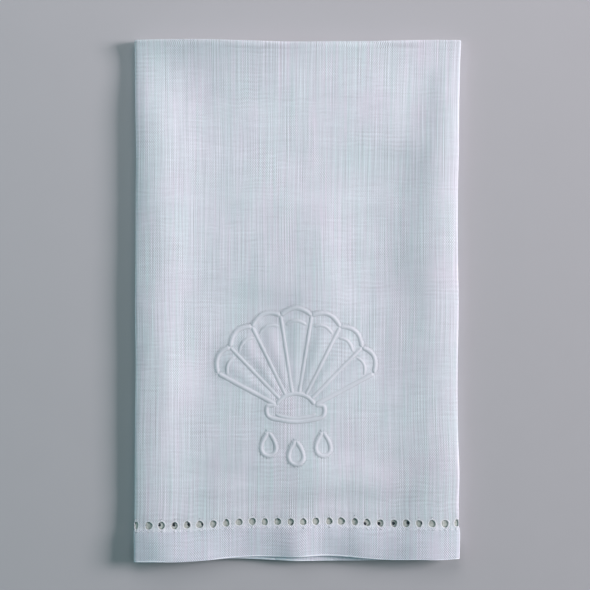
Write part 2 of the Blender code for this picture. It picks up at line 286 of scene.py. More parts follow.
# Long crests beside the side folds, over the shallow tray between them
LEFT_CREST = [
    # y, crest x, height over the tray, half width towards the fold, half width inwards
    (-95.6, -47.0, 1.80, 10.0, 12.0),
    (-80.0, -49.0, 1.50, 11.0, 12.0),
    (-65.0, -51.0, 1.35, 12.0, 10.0),
    (-50.0, -51.0, 1.60, 12.0, 9.0),
    (-35.0, -50.5, 1.80, 13.0, 9.0),
    (-20.0, -50.5, 1.90, 13.0, 9.0),
    (-5.0, -50.5, 1.90, 13.0, 9.0),
    (20.0, -50.5, 1.90, 12.0, 10.5),
    (45.0, -51.0, 1.90, 11.0, 11.0),
    (66.0, -53.0, 1.70, 9.0, 10.0),
    (80.0, -55.5, 0.90, 7.0, 10.0),
    (92.0, -57.0, 0.20, 6.0, 9.0),
]
RIGHT_CREST = [
    # y, crest x, height over the tray, half width towards the fold, half width inwards
    (-95.6, 46.0, 1.70, 13.0, 12.0),
    (-80.0, 49.0, 1.00, 13.0, 11.0),
    (-64.0, 52.0, 1.30, 13.0, 10.0),
    (-46.0, 51.5, 1.30, 13.0, 10.0),
    (-27.0, 51.0, 1.35, 12.0, 11.0),
    (-7.0, 51.0, 1.60, 12.0, 13.0),
    (8.0, 51.0, 1.95, 12.0, 12.0),
    (25.0, 51.5, 1.90, 12.0, 12.0),
    (45.0, 52.0, 1.70, 12.0, 11.0),
    (65.0, 53.5, 1.60, 12.0, 9.5),
    (80.0, 54.5, 0.70, 12.0, 7.0),
    (92.0, 56.0, 0.20, 12.0, 7.0),
]
TRAY_DEPTH = 1.5
TRAY_FADE = 26.0
EDGE_DROP = [
    # y, drop of the left fold, drop of the right fold
    (-95.6, 0.30, 0.35),
    (-80.0, 0.50, 0.40),
    (-50.0, 0.50, 0.45),
    (0.0, 0.55, 0.45),
    (40.0, 0.70, 0.45),
    (65.0, 0.60, 0.40),
    (85.0, 0.60, 0.30),
    (95.0, 0.30, 0.20),
]
EDGE_DROP_REACH = 1.8

# Low swells between the crests
SWELLS = [
    # x, y of the middle, half width on its left and right, half length, lean dx/dy, height
    (8.5, -18.0, 13.0, 11.0, 52.0, 0.00, 0.85),
    (16.0, -56.0, 16.0, 12.0, 17.0, 0.00, 0.35),
    (-3.0, -62.0, 18.0, 14.0, 14.0, 0.00, 0.95),
    (-7.0, -44.0, 8.0, 8.0, 9.0, 0.00, 0.50),
    (36.0, -46.0, 11.0, 11.0, 12.0, 0.00, 0.60),
    (19.0, -79.0, 9.0, 9.0, 9.0, 0.00, -0.40),
    (-8.0, 80.0, 20.0, 14.0, 9.0, 0.00, 0.35),
    (-26.0, -16.0, 10.0, 10.0, 17.0, 0.00, -0.45),
    (23.0, 41.0, 15.0, 11.0, 21.0, 0.00, -0.55),
    (20.0, -46.0, 14.0, 12.0, 10.0, 0.00, 0.30),
    (-34.0, 78.0, 12.0, 14.0, 8.0, 0.00, -0.25),
    (14.0, -64.0, 16.0, 16.0, 8.0, 0.00, 0.45),
    (36.0, -79.0, 16.0, 16.0, 9.0, 0.00, -0.42),
    (-28.0, -75.0, 14.0, 16.0, 9.0, 0.00, 1.10),
    (28.0, -77.0, 14.0, 12.0, 7.0, 0.00, -0.40),
    (-2.0, -65.0, 22.0, 18.0, 8.0, 0.00, 0.65),
    (-34.0, -25.0, 8.0, 8.0, 10.0, 0.00, -0.55),
    (-14.0, -5.0, 14.0, 12.0, 9.0, 0.00, -0.55),
    (-9.0, 9.0, 10.0, 9.0, 9.0, 0.00, 0.35),
    (36.0, 28.0, 16.0, 12.0, 30.0, 0.00, -0.50),
    (24.0, 9.0, 13.0, 14.0, 9.0, 0.00, -0.45),
    (6.0, 46.0, 20.0, 18.0, 9.0, 0.00, -0.65),
    (36.0, 46.0, 12.0, 14.0, 9.0, 0.00, -0.50),
    (-30.0, 64.0, 10.0, 10.0, 8.0, 0.00, -0.20),
    (-47.0, 26.0, 7.0, 7.0, 14.0, 0.00, 0.22),
    (46.0, 71.0, 8.0, 7.0, 12.0, 0.00, -0.50),
    (2.0, -25.0, 6.0, 6.0, 9.0, 0.00, -0.25),
    (23.0, -42.0, 5.5, 6.5, 36.0, 0.00, 0.25),
    (12.0, 13.0, 6.0, 6.0, 11.0, 0.00, 0.15),
    (-24.0, 74.0, 12.0, 9.0, 14.0, -0.50, 0.20),
    (-15.0, 44.0, 8.0, 8.0, 18.0, 0.10, 0.10),
    (31.0, 62.0, 9.0, 7.0, 20.0, 0.20, 0.15),
    (-25.0, -60.0, 10.0, 9.0, 14.0, 0.10, 0.32),
]

# Wide dip and flutes of the hem's free edge
FLUTES = [
    # x, half width on its left and right, reach up from the edge, height
    (2.0, 36.0, 36.0, 16.0, -1.85),
    (-33.0, 4.0, 4.0, 14.0, 0.15),
    (-20.0, 8.0, 8.0, 14.0, -0.65),
    (0.0, 6.2, 6.5, 14.0, 1.65),
    (25.0, 6.5, 8.0, 14.0, 0.85),
    (46.0, 8.0, 7.0, 14.0, 0.20),
]

# Small ripples, how the hidden panels follow, and how the cloth settles towards the top fold
RIPPLES = 14
RIPPLE_HEIGHT = 0.012
RIPPLE_LENGTHS = (7.0, 22.0)
RIPPLE_TURN = 0.5
WING_SHARE = 0.3
WING_SINK = 0.04
BACK_WING_BOW = -0.14
BACK_WING_BOW_REACH = 14.0
TOP_FADE = 12.0
BODY_HASTE = 1.5
CROWN_HASTE = 1.1

# Mesh steps; the motif's box is left, right, low and high in folded x and y
FRONT_STEP = 1.3
MOTIF_STEP = 0.62
SIDE_FOLD_STEPS = 7
TOP_FOLD_STEPS = 12
WING_STEP = 3.0
BACK_STEP = 3.2
WING_ROW_STEP = 2.6
EDGE_ROWS = (0.0, 0.15, 0.5, 1.0)
MOTIF_BOX = (-34.0, 34.0, -64.0, 2.0)
GRID_CLEARANCE = 0.5
POINT_MERGE = 0.01
ROUND_OFF = 1e-6
SHARP_ANGLE = 50.0
OUTLINE_STEPS = 400
OUTLINE_ROWS = 9

# Map for baking, in shares of its width
BAKE_FACE = 0.49
BAKE_MARGIN = 0.003
BAKE_CELLS_LEFT = 0.005
BAKE_CELLS_WIDTH = 0.99
BAKE_CELLS_GAP = 0.01
BAKE_CELLS_TOP = 0.985
BAKE_CELL = (0.1, 0.9)

# Weave
WARP_PITCH = 0.38
WEFT_PITCH = 0.48
WEAVE_DEPTH = 0.03
CROSSING_DIP = 0.55

# Noise of single threads: its step from thread to thread, and its rate along each
WARP_NOISE = (7.31, 0.03)
WEFT_NOISE = (5.17, 0.12)
HUE_NOISE = (11.7, 0.02)

# Smooth noises over the linen: sway and bow in millimetres, wander in radians, the rest in shares
NOISES = {
    # name: rate across, rate along, detail, lowest, highest
    "sway": (0.05, 0.02, 2.0, -0.4, 0.4),
    "bow": (0.035, 0.09, 2.0, -1.3, 1.3),
    "fleck": (1.5, 1.5, 2.0, -0.05, 0.05),
    "weft_slub": (0.05, 0.8, 3.0, -0.012, 0.012),
    "warp_band": (0.11, 0.02, 1.0, -0.012, 0.012),
    "weft_band": (0.02, 0.085, 1.0, -0.015, 0.015),
    "dense": (0.10, 1.1, 1.0, -1.0, 1.4),
    "slack": (0.035, 0.075, 1.0, -0.07, 0.08),
    "wander": (0.12, 0.05, 1.0, 0.0, 9.0),
    "dots": (0.06, 0.04, 1.0, -0.14, 0.36),
    "hue": (0.07, 0.045, 2.0, 0.12, 0.88),
    "hue_streak": (0.8, 0.015, 1.0, -0.22, 0.22),
}
SLUB_RATES = (0.85, 0.02, 3.0)
SLUB_TONE = 0.015
SLUB_RELIEF = 0.5
WARP_CONTRAST = 0.33
HEM_WARP_CALM = 0.35
WARP_TONE = 0.02
WEFT_TONE = 0.075

# Painted light at the folds: a painted highlight makes the left fold and hem edge a little lighter, and
# painted shade makes the top fold a little darker
PAINTED_RIM_HIGHLIGHT = 0.7
CREASE_REACH = 0.45
HEM_CREASE = 0.1
FOLD_CREASE = -HALF_FLAT - 0.7
TOP_CREASE = FRONT_LENGTH + 0.7
TOP_CREASE_SHADE = 0.09
TOP_CREASE_REACH = 1.0

# Denser bars, slack waves and dots at the crossings, each of which comes and goes with its noise
DENSE_PITCH = 13.4
DENSE_SHARPNESS = 3.0
DENSE_GAIN = 0.045
SLACK_RATE = 4.0
LEAST_DOTS = 0.05
HEM_DOTS = 0.16
DOTS_EDGE = HALF_FLAT - 0.5

# Colours: the linen's hue goes from a green one to a lilac one, and its reverse near the eyelet row is
# darker and warmer, as painted shade seen through the eyelets
LINEN_COLOUR = (0.69, 0.765, 0.815)
GREEN_TINT = (0.91, 1.018, 0.975)
LILAC_TINT = (1.09, 0.982, 1.025)
HEM_TINT = (0.935, 0.93, 0.955)
THREAD_HUE = 0.28
WARP_HUE = 0.09
ROW_PAINTED_SHADE_COLOUR = (0.505, 0.57, 0.525)
ROW_PAINTED_SHADE_REACH = 4.0
EMBROIDERY_COLOUR = (0.695, 0.765, 0.815)
THREAD_COLOUR = (0.86, 0.92, 0.94)
FOOT_SHADE = 0.30
FIBRE_RATES = (9.0, 9.0, 3.0)
FIBRE_TONES = (-0.10, 0.08)
FIBRE_DEPTH = 0.03
FIBRE_STRENGTH = 0.7
WORN_RATES = (0.6, 0.6, 2.0)
WORN_TONE = 0.04
FLOOR_COLOUR = (0.46, 0.485, 0.50)
FLOOR_TONES = (0.985, 1.015)
FLOOR_MOTTLE = {"Scale": 60.0, "Detail": 4.0}

# Finish of each surface, by the shader's own input names
LINEN_ROUGHNESS = (0.78, 0.95)
LINEN_FINISH = {
    "Specular IOR Level": 0.25,
    "Sheen Weight": 0.12,
    "Sheen Roughness": 0.4,
    "Subsurface Weight": 0.25,
    "Subsurface Radius": (1.0, 1.0, 1.0),
    "Subsurface Scale": 0.7 * MM,
}
THREAD_ROUGHNESS = (0.5, 0.75)
THREAD_FINISH = {"Specular IOR Level": 0.4, "Sheen Weight": 0.15, "Sheen Roughness": 0.3}
FLOOR_FINISH = {"Roughness": 0.95, "Specular IOR Level": 0.1}

# Photograph's frame
IMAGE_SIZE = 590
PIXEL = 0.3646
OBJECT_PIXEL = (297.3, 300.45)
LENS = 100.0
SENSOR = 36.0

# Studio, in metres and watts; the key light stands at two angles in degrees and a distance
KEY_AZIMUTH = 9.0
KEY_ELEVATION = 25.0
KEY_DISTANCE = 1.8
LIGHT_COLOUR = (1.0, 0.85, 0.895)
WORLD_COLOUR = (0.50, 0.96, 1.0)
WORLD_STRENGTH = 0.14
HORIZON_COLOUR = (1.78, 1.82, 1.86)
HORIZON_FADE = (0.17, 0.30)
FLOOR_HALF = 2.5
FLOOR_DROP = 0.02 * MM
FLOOR_FADE = (0.3, 1.3)

random = np.random.default_rng(11)


# Small helpers

def ease(value):
    """Rise smoothly from 0 to 1 as value goes from 0 to 1."""
    value = np.clip(value, 0.0, 1.0)
    return value * value * (3.0 - 2.0 * value)


def settle(value, haste):
    """Rise from 0 to 1 as value goes from 0 to 1, fastest at the start if haste is over 1."""
    return 1.0 - (1.0 - np.clip(value, 0.0, 1.0)) ** haste


def read(table, at):
    """Smooth curves through the columns of a table after its first, read at many places."""
    places, *columns = np.array(table, float).T
    at = np.clip(at, places[0], places[-1])
    row = np.clip(np.searchsorted(places, at) - 1, 0, len(places) - 2)
    step = places[row + 1] - places[row]
    share = (at - places[row]) / step
    rest = 1.0 - share
    curves = []
    for values in columns:
        slopes = np.gradient(values, places)
        start = values[row] * (1.0 + 2.0 * share) * rest ** 2 + step * slopes[row] * share * rest ** 2
        end = values[row + 1] * (1.0 + 2.0 * rest) * share ** 2 - step * slopes[row + 1] * rest * share ** 2
        curves.append(start + end)
    return curves


def bell(offset, left_width, right_width):
    """1 at the middle, falling off with its own half width on each side."""
    return fall(offset, np.where(offset < 0.0, left_width, right_width))


def fall(offset, reach):
    """1 at the middle, falling off within a reach."""
    return np.exp(-(offset / reach) ** 2)


def angles(count):
    """Even angles once round a circle."""
    return np.arange(count) * 2.0 * math.pi / count


def squared(turn, squareness):
    """Sine and cosine of half a turn, pressed out towards a square."""
    onwards = np.clip(np.sin(turn), 0.0, 1.0) ** squareness
    return onwards, np.sign(np.cos(turn)) * np.abs(np.cos(turn)) ** squareness


# Folded form

def behind_share(across):
    """0 on the front panel, 1 on the side panels behind it."""
    return ease((np.abs(across) - HALF_FLAT) / SIDE_FOLD_LENGTH)


def side_fold(across, out):
    """Fold the side panels behind: x, and depth under the front panel."""
    past = np.abs(across) - HALF_FLAT
    turn = np.clip(past / SIDE_RADIUS, 0.0, math.pi)
    reach = SIDE_RADIUS + out
    beyond = np.maximum(past - SIDE_FOLD_LENGTH, 0.0)
    flat = np.minimum(np.abs(across), HALF_FLAT)
    sideways, upwards = squared(turn, FOLD_SQUARENESS)
    return np.sign(across) * (flat + reach * sideways - beyond), SIDE_RADIUS - reach * upwards


def top_turn(along):
    """Angle turned at the top fold, 0 on the near half and half a turn on the far one."""
    return np.clip(math.pi * (along - FRONT_LENGTH) / TOP_FOLD_LENGTH, 0.0, math.pi)


def top_fold(along, depth):
    """Fold the far half behind the near one: y and z."""
    radius = TOP_RADIUS - depth
    turn = top_turn(along)
    beyond = np.maximum(along - FRONT_LENGTH - TOP_FOLD_LENGTH, 0.0)
    onwards, upwards = squared(turn, TOP_SQUARENESS)
    y = HEM_EDGE_Y + np.minimum(along, FRONT_LENGTH) + radius * onwards - beyond
    return y, FRONT_Z - TOP_RADIUS + radius * upwards


RIPPLE_WAVES = [
    # wave vector's two parts, phase
    (2.0 * math.pi / length * math.cos(turn), 2.0 * math.pi / length * math.sin(turn), phase)
    for length, turn, phase in zip(
        random.uniform(*RIPPLE_LENGTHS, RIPPLES),
        random.normal(0.0, RIPPLE_TURN, RIPPLES),
        random.uniform(0.0, 2.0 * math.pi, RIPPLES),
    )
]


def ripple(x, y):
    """Sum of small waves, which mostly run down the cloth."""
    return sum(np.sin(kx * x + ky * y + phase) for kx, ky, phase in RIPPLE_WAVES) * RIPPLE_HEIGHT


def crest(table, x, y):
    """Height of one long crest over the tray."""
    middle, height, fold_width, inner_width = read(table, y)
    if table[0][1] > 0.0:
        fold_width, inner_width = inner_width, fold_width
    return height * bell(x - middle, fold_width, inner_width)


def edge_drop(x, y):
    """How far the cloth rounds down to the side folds."""
    from_left = np.maximum(x + FOLDED_WIDTH / 2, 0.0)
    from_right = np.maximum(FOLDED_WIDTH / 2 - x, 0.0)
    left, right = read(EDGE_DROP, y)
    return left * np.exp(-from_left / EDGE_DROP_REACH) + right * np.exp(-from_right / EDGE_DROP_REACH)


def upper_lift(x, y):
    """Height of the upper half's cloth over the even stack, before the top fold."""
    tray = TRAY_DEPTH * ease((y - HEM_EDGE_Y) / TRAY_FADE)
    height = crest(LEFT_CREST, x, y) + crest(RIGHT_CREST, x, y) - tray
    for middle_x, middle_y, left, right, half_length, lean, top in SWELLS:
        down = y - middle_y
        height += top * bell(x - middle_x - lean * down, left, right) * np.exp(-(down / half_length) ** 4)
    for middle_x, left, right, reach, top in FLUTES:
        height += top * bell(x - middle_x, left, right) * fall(y - HEM_EDGE_Y, reach)
    return height


def lift(across, along, x, y):
    """Height of a place on the sheet over the even stack."""
    behind = behind_share(across)
    upper = (1.0 + np.cos(top_turn(along))) / 2.0
    below_top = TOP_FOLD_Y - y
    from_row = along - EYELET_ROW
    at_row = fall(from_row, ROW_REACH)
    ripples = (1.0 - behind * (1.0 - at_row)) * ripple(x, y)
    body = (upper_lift(x, y) + ripples) * settle(below_top / TOP_FADE, BODY_HASTE)
    crown = read(TOP_EDGE, x)[1] * (1.0 - settle(below_top / TOP_HEIGHT_REACH, CROWN_HASTE))
    lip = TOP_LIP * np.exp(-np.maximum(below_top, 0.0) / TOP_LIP_REACH)
    near = body + crown + lip - edge_drop(x, y)
    followed = WING_SHARE + (1.0 - WING_SHARE) * fall(from_row, ROW_WING_REACH)
    near = near - behind * (1.0 - followed) * np.maximum(near, 0.0)
    near = near + behind * (ROW_WING_RISE * at_row - WING_SINK)
    from_side = FOLDED_WIDTH / 2 - np.abs(x)
    bow = BACK_WING_BOW * behind * ease(from_side / BACK_WING_BOW_REACH) * ease(below_top / TOP_FADE)
    return upper * near + (1.0 - upper) * bow


def place(points):
    """Folded position of points of the pattern, each across, along and out from its mid surface."""
    across, along, out = points.T
    x, depth = side_fold(across, out)
    y, z = top_fold(along, depth)
    mid_x, mid_depth = side_fold(across, 0.0)
    mid_y, _ = top_fold(along, mid_depth)
    left, right = read(SIDE_EDGES, mid_y)
    portion = mid_x / FOLDED_WIDTH
    behind = behind_share(across)
    front_hem, hidden_hem = read(HEM_EDGES, mid_x)
    hem = (1.0 - behind) * front_hem + behind * hidden_hem
    hem_reach = np.maximum(0.0, 1.0 - along / HEM_EDGE_REACH) ** 2
    top_reach = np.maximum(0.0, 1.0 - (TOP_FOLD_Y - mid_y) / TOP_EDGE_REACH) ** 2
    return np.column_stack([
        x + right * (0.5 + portion) - left * (0.5 - portion),
        y + hem * hem_reach - read(TOP_EDGE, mid_x)[0] * top_reach,
        z + lift(across, along, mid_x, mid_y),
    ])


# Motif's lines

def from_focus(angle, radius):
    """Point of the shell at an angle in degrees from straight up and a radius from its focus."""
    turn = np.radians(angle)
    return np.column_stack([
        SHELL_FOCUS[0] + radius * np.sin(turn),
        SHELL_FOCUS[1] + radius * np.cos(turn),
    ])


def fan_radius(angle):
    """Radius of the fan's rim, which is nearer the focus at the shell's sides."""
    return SHELL_RADIUS * (1.0 - SHELL_SIDE_LOSS * (angle / SHELL_HALF_ANGLE) ** 2)


def through(points, steps=8):
    """Smooth curve through points."""
    points = np.array(points, float)
    rows = np.column_stack([np.arange(len(points)), points])
    at = np.linspace(0.0, len(points) - 1.0, (len(points) - 1) * steps + 1)
    return np.column_stack(read(rows, at))


def lobe_arcs(start, end, points, inset):
    """One arc for each lobe, between two shares of its width and some way inside the shell's rim."""
    share = np.linspace(start, end, points)
    arcs = []
    for lobe in range(SHELL_LOBES):
        angle = (lobe + share) * LOBE_ANGLE - SHELL_HALF_ANGLE
        arcs.append(from_focus(angle, fan_radius(angle) - inset + LOBE_BULGE * np.sin(math.pi * share)))
    return arcs


def shell_ribs():
    """Straight lines from the collar to the rim's notches, the fan's two sides last."""
    ribs = []
    for rib in list(range(1, SHELL_LOBES)) + [0, SHELL_LOBES]:
        angle = rib * LOBE_ANGLE - SHELL_HALF_ANGLE
        radius = np.linspace(COLLAR_RADIUS, fan_radius(angle), RIB_POINTS)
        ribs.append(from_focus(np.full(RIB_POINTS, angle), radius))
    return ribs


def shell_collar():
    """Arc that the ribs spring from."""
    return from_focus(np.linspace(-SHELL_HALF_ANGLE, SHELL_HALF_ANGLE, COLLAR_POINTS), COLLAR_RADIUS)


def shell_hinge():
    """Outline of the hinge and its ears, from one end of the collar to the other."""
    collar = shell_collar()
    return through([collar[0]] + SHELL_FOOT + [collar[-1]])


def hinge_echo():
    """Second line inside the hinge's foot."""
    middle = np.array(HINGE_MIDDLE)
    foot = through(SHELL_FOOT)[HINGE_ECHO_TRIM:-HINGE_ECHO_TRIM]
    return middle + (foot - middle) * HINGE_ECHO_SHARE


def drop_line(x, y, length, width):
    """Outline of one water drop, from its tip round to its tip."""
    turn = np.linspace(0.0, 2.0 * math.pi, DROP_POINTS)
    bulge = np.sin(turn) * np.sin(turn / 2.0) / DROP_FULLEST
    return np.column_stack([x + width / 2.0 * bulge, y + length / 2.0 * np.cos(turn)])


def on_pattern(line):
    """Move a line of the motif to its place on the pattern."""
    return line + np.array([MOTIF_CENTRE[0], MOTIF_CENTRE[1] - HEM_EDGE_Y])


def resampled(line, step):
    """Same line with evenly spaced points."""
    lengths = np.linalg.norm(np.diff(line, axis=0), axis=1)
    at = np.concatenate([[0.0], np.cumsum(lengths)])
    even = np.linspace(0.0, at[-1], max(2, round(at[-1] / step) + 1))
    return np.column_stack([np.interp(even, at, line[:, axis]) for axis in (0, 1)])


def normals(line):
    """Unit normals of a line, to its left."""
    run = np.gradient(line, axis=0)
    return np.column_stack([-run[:, 1], run[:, 0]]) / np.linalg.norm(run, axis=1)[:, None]


LOBE_LINES = [on_pattern(line) for line in lobe_arcs(0.0, 1.0, LOBE_POINTS, 0.0)]
RIB_LINES = [on_pattern(line) for line in shell_ribs()]
HINGE_LINES = [on_pattern(shell_collar()), on_pattern(shell_hinge())]
DROP_LINES = [on_pattern(drop_line(*drop)) for drop in DROPS]
ECHO_LINES = [on_pattern(line) for line in lobe_arcs(*ECHO_ENDS, ECHO_POINTS, ECHO_INSET) + [hinge_echo()]]
MOTIF_LINES = LOBE_LINES + RIB_LINES + HINGE_LINES + DROP_LINES


def distance_to(points, lines):
    """Distance from each point to the nearest of the lines."""
    best = np.full(len(points), np.inf)
    for line in lines:
        line = resampled(line, CURVE_STEP)
        for start, end in zip(line, line[1:]):
            run = end - start
            share = np.clip((points - start) @ run / (run @ run), 0.0, 1.0)
            best = np.minimum(best, np.linalg.norm(points - start - share[:, None] * run, axis=1))
    return best


def in_motif_box(points):
    """True for points of the pattern round the motif."""
    left, right, low, high = MOTIF_BOX
    along = points[:, 1] + HEM_EDGE_Y
    return (left < points[:, 0]) & (points[:, 0] < right) & (low < along) & (along < high)


def fan_pillow(points):
    """Low pillow of each lobe between its ribs, from 0 to 1."""
    offset = points - on_pattern(SHELL_FOCUS)
    radius = np.linalg.norm(offset, axis=1)
    angle = np.degrees(np.arctan2(offset[:, 0], offset[:, 1]))
    within = np.abs(angle) < SHELL_HALF_ANGLE
    lobe = (angle + SHELL_HALF_ANGLE) * SHELL_LOBES / (2.0 * SHELL_HALF_ANGLE)
    cross = np.sin(math.pi * (lobe % 1.0)) ** 2
    ends = ease((radius - COLLAR_RADIUS) / PILLOW_FOOT) * ease((fan_radius(angle) - radius) / PILLOW_RIM)
    return np.where(within, cross * ends, 0.0)


def relief(points):
    """Height of the cloth's outer face over the plain sheet: the hem's second ply and the drawn motif."""
    height = HEM_PLY * ease((HEM_BAND - points[:, 1]) / HEM_STEP)
    near = in_motif_box(points)
    if near.any():
        close = distance_to(points[near], MOTIF_LINES)
        height[near] += CLOTH_DRAW * fall(close, CLOTH_DRAW_REACH)
        height[near] += LOBE_PILLOW * fan_pillow(points[near])
    return height


def half_thickness(points):
    """Half the sheet's thickness, which is rounded off at its hemmed edges."""
    across, along = points[:, 0], points[:, 1]
    to_edge = np.minimum.reduce([
        along,
        PATTERN_END - along,
        across - PATTERN_LEFT,
        PATTERN_RIGHT - across,
    ])
    share = np.clip(to_edge / EDGE_ROUNDING, 0.0, 1.0)
    rounding = np.sqrt(1.0 - (1.0 - share) ** 2)
    row = 1.0 - ROW_THINNING * fall(along - EYELET_ROW, ROW_REACH)
    return SHEET_THICKNESS / 2 * row * (EDGE_BLUNT + (1.0 - EDGE_BLUNT) * rounding)


def outer_half(points):
    """Distance from the mid surface to the outer face, which is pressed in on the side panels."""
    hidden = ease((np.abs(points[:, 0]) - FOLD_EDGE) / HIDDEN_REACH)
    return half_thickness(points) * (1.0 - HIDDEN_THINNING * hidden)


def outer_face(points):
    """Distance from the mid surface to the outer face with all that is raised on it."""
    return outer_half(points) + relief(points)


# Eyelets and needle holes

def row_height(width):
    """Height of an eyelet's opening: the hidden ones are drawn tighter both ways."""
    return EYELET_HEIGHT * (HIDDEN_EYELET_SHARE if width < EDGE_EYELET_WIDTH else 1.0)


def eyelet_row():
    """Every eyelet: across, width, and its own small unevenness."""
    half_row = (FRONT_EYELETS - 1) * EYELET_PITCH / 2
    places = [(number * EYELET_PITCH - half_row, EYELET_WIDTH) for number in range(1, FRONT_EYELETS - 1)]
    places += [(-EDGE_EYELET_X, EDGE_EYELET_WIDTH), (EDGE_EYELET_X, EDGE_EYELET_WIDTH)]
    steps = int(FOLDED_WIDTH / WING_EYELET_PITCH)
    wings = [(-1, LEFT_WING_EYELET_X, LEFT_WING), (1, RIGHT_WING_EYELET_X, RIGHT_WING)]
    for side, known_x, wing in wings:
        for number in range(-steps, steps + 1):
            into_wing = HALF_FLAT - side * known_x + number * WING_EYELET_PITCH
            if EYELET_TO_EDGE < into_wing < wing - EYELET_TO_EDGE:
                places.append((side * (FOLD_EDGE + into_wing), EYELET_WIDTH * HIDDEN_EYELET_SHARE))
    return [
        {
            "across": across + random.normal(0.0, EYELET_SPREAD),
            "along": EYELET_ROW + random.normal(0.0, EYELET_SPREAD / 2),
            "half_width": width / 2 * random.uniform(*EYELET_WIDTH_SHARES),
            "half_height": row_height(width) / 2 * random.uniform(*EYELET_HEIGHT_SHARES),
            "pinch": EYELET_PINCH * random.uniform(*EYELET_PINCH_SHARES),
            "phase": random.uniform(0.0, 2.0 * math.pi),
        }
        for across, width in places
    ]


def eyelet_curve(eyelet, turn, beyond):
    """Points round an eyelet, some way beyond its opening's edge."""
    uneven = 1.0 + eyelet["pinch"] * np.cos(EYELET_CORNERS * turn + eyelet["phase"])
    return np.column_stack([
        eyelet["across"] + (eyelet["half_width"] * uneven + beyond) * np.cos(turn),
        eyelet["along"] + (eyelet["half_height"] * uneven + beyond) * np.sin(turn),
    ])


def round_hole(across, along, radius, sides):
    """Closed polygon round a small hole."""
    turn = (np.arange(sides) + 0.5) * 2.0 * math.pi / sides
    return np.column_stack([across + radius * np.cos(turn), along + radius * np.sin(turn)])


def pin_places():
    """Needle holes beside the shell's rim and the drops: each hole and the cord point that it serves."""
    centre = on_pattern(PIN_SHELL_MIDDLE)
    pins = []
    for line in LOBE_LINES + DROP_LINES:
        line = resampled(line, PIN_PITCH)
        middle = line.mean(axis=0) if math.dist(line[0], line[-1]) < 1.0 else centre
        normal = normals(line)
        outward = np.sign(((line - middle) * normal).sum(axis=1))[:, None]
        holes = line + outward * normal * PIN_OFFSET
        clear = distance_to(holes, MOTIF_LINES) > PIN_CLEARANCE
        pins += [(hole, point) for hole, point, free in zip(holes, line, clear) if free]
    return pins


EYELETS = eyelet_row()
PINS = pin_places()


def sheet_holes():
    """Outline of every hole in the sheet."""
    turn = angles(EYELET_SIDES)
    holes = [eyelet_curve(eyelet, turn, 0.0) for eyelet in EYELETS]
    for eyelet in EYELETS:
        for reach in BAR_REACH:
            holes.append(round_hole(
                eyelet["across"], eyelet["along"] + reach, NEEDLE_HOLE_RADIUS, NEEDLE_HOLE_SIDES
            ))
    holes += [round_hole(*hole, PIN_HOLE_RADIUS, NEEDLE_HOLE_SIDES) for hole, _ in PINS]
    return holes


# Sheet's mesh

def spread(low, high, step):
    """Evenly spaced places from low to high, no further apart than a step."""
    return np.linspace(low, high, max(1, math.ceil((high - low) / step - ROUND_OFF)) + 1)


def block(columns, rows):
    """Every crossing of some columns and rows."""
    across, along = np.meshgrid(columns, rows)
    return np.column_stack([across.ravel(), along.ravel()])


def grid_points():
    """Grid of the pattern: close on the shown face, closer round the motif, wider where it is hidden."""
    rim = EDGE_ROUNDING * np.array(EDGE_ROWS)
    front = spread(-HALF_FLAT, HALF_FLAT, FRONT_STEP)
    right_fold = spread(HALF_FLAT, FOLD_EDGE, SIDE_FOLD_LENGTH / SIDE_FOLD_STEPS)
    folds = np.concatenate([-right_fold, right_fold])
    wings = np.concatenate([
        PATTERN_LEFT + rim,
        spread(PATTERN_LEFT + EDGE_ROUNDING, -FOLD_EDGE, WING_STEP),
        spread(FOLD_EDGE, PATTERN_RIGHT - EDGE_ROUNDING, WING_STEP),
        PATTERN_RIGHT - rim,
    ])
    hem_rows = np.concatenate([rim, spread(EDGE_ROUNDING, HEM_BAND - HEM_STEP, FRONT_STEP)])
    front_rows = np.concatenate([hem_rows, spread(HEM_BAND, FRONT_LENGTH, FRONT_STEP)])
    wing_rows = np.concatenate([rim, spread(EDGE_ROUNDING, FRONT_LENGTH, WING_ROW_STEP)])
    bend_end = FRONT_LENGTH + TOP_FOLD_LENGTH
    bend_rows = spread(FRONT_LENGTH, bend_end, TOP_FOLD_LENGTH / TOP_FOLD_STEPS)
    back_rows = np.concatenate([spread(bend_end, PATTERN_END - EDGE_ROUNDING, BACK_STEP), PATTERN_END - rim])
    left, right, low, high = MOTIF_BOX
    fine = block(spread(left, right, MOTIF_STEP), spread(low, high, MOTIF_STEP) - HEM_EDGE_Y)
    coarse = block(front, front_rows)
    blocks = [
        coarse[~in_motif_box(coarse)],
        fine,
        block(folds, front_rows),
        block(wings, wing_rows),
        block(np.concatenate([front, folds, wings]), bend_rows),
        block(np.concatenate([spread(-HALF_FLAT, HALF_FLAT, BACK_STEP), folds[::2], wings]), back_rows),
    ]
    return np.unique(np.concatenate(blocks).round(PATTERN_DIGITS), axis=0)


def clear_of(points, features, distance):
    """Those points that keep a distance from all feature points."""
    tree = kdtree.KDTree(len(features))
    for number, feature in enumerate(features):
        tree.insert((*feature, 0.0), number)
    tree.balance()
    far = [tree.find((*point, 0.0))[2] > distance for point in points]
    return points[np.array(far)]


